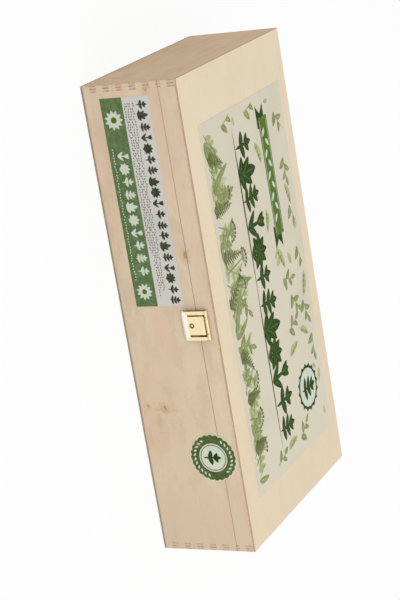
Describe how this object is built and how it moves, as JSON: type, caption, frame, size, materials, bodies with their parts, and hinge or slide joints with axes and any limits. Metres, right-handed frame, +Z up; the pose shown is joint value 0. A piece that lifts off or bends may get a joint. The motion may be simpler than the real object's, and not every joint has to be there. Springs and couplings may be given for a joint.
{
  "type": "seed organizer box",
  "caption": "Flat hinged plywood box with finger joints, a brass front latch, inner divider boards and paper labels, for filing seed packets.",
  "frame": {"origin": "centre of the bottom face of the bottom panel, which rests on the table", "axes": "+X along the length to the right end, -Y out of the front with the latch, +Z up out of the lid"},
  "size_m": [0.4, 0.2124, 0.0852],
  "materials": {
    "side_plywood": "sanded raw plywood, long grain",
    "top_plywood": "sanded raw plywood, pale face veneer",
    "base_plywood": "sanded raw plywood",
    "divider_plywood": "raw thin plywood",
    "brass": "polished",
    "front_paper": "printed satin paper",
    "top_paper": "printed satin paper",
    "seal_paper": "printed satin paper"
  },
  "bodies": {
    "box_body": {"front_wall": "side_plywood", "back_wall": "side_plywood", "left_wall": "side_plywood", "right_wall": "side_plywood", "bottom_panel": "base_plywood", "long_divider": "divider_plywood", "left_cross_divider": "divider_plywood", "right_cross_divider": "divider_plywood", "left_hinge_body_leaf": "brass", "left_hinge_pin": "brass", "right_hinge_body_leaf": "brass", "right_hinge_pin": "brass", "hinge_body_nails": "brass", "latch_catch_plate": "brass", "latch_body_nails": "brass", "front_label": "front_paper", "seal_body_part": "seal_paper"},
    "lid": {"lid_front_rail": "side_plywood", "lid_back_rail": "side_plywood", "lid_left_rail": "side_plywood", "lid_right_rail": "side_plywood", "lid_panel": "top_plywood", "left_hinge_lid_leaf": "brass", "right_hinge_lid_leaf": "brass", "hinge_lid_nails": "brass", "latch_lid_plate": "brass", "latch_pin": "brass", "latch_lid_nails": "brass", "top_label": "top_paper", "seal_lid_part": "seal_paper"},
    "latch_flap": {"latch_flap": "brass"}
  },
  "joints": [
    {"name": "lid_hinge", "type": "hinge", "parent": "box_body", "child": "lid", "pos_m": [0, 0.1036, 0.0685], "axis": [-1, 0, 0], "range_deg": [0, 95]},
    {"name": "latch_hinge", "type": "hinge", "parent": "lid", "child": "latch_flap", "pos_m": [0, -0.1032, 0.0773], "axis": [-1, 0, 0], "range_deg": [0, 150]}
  ]
}
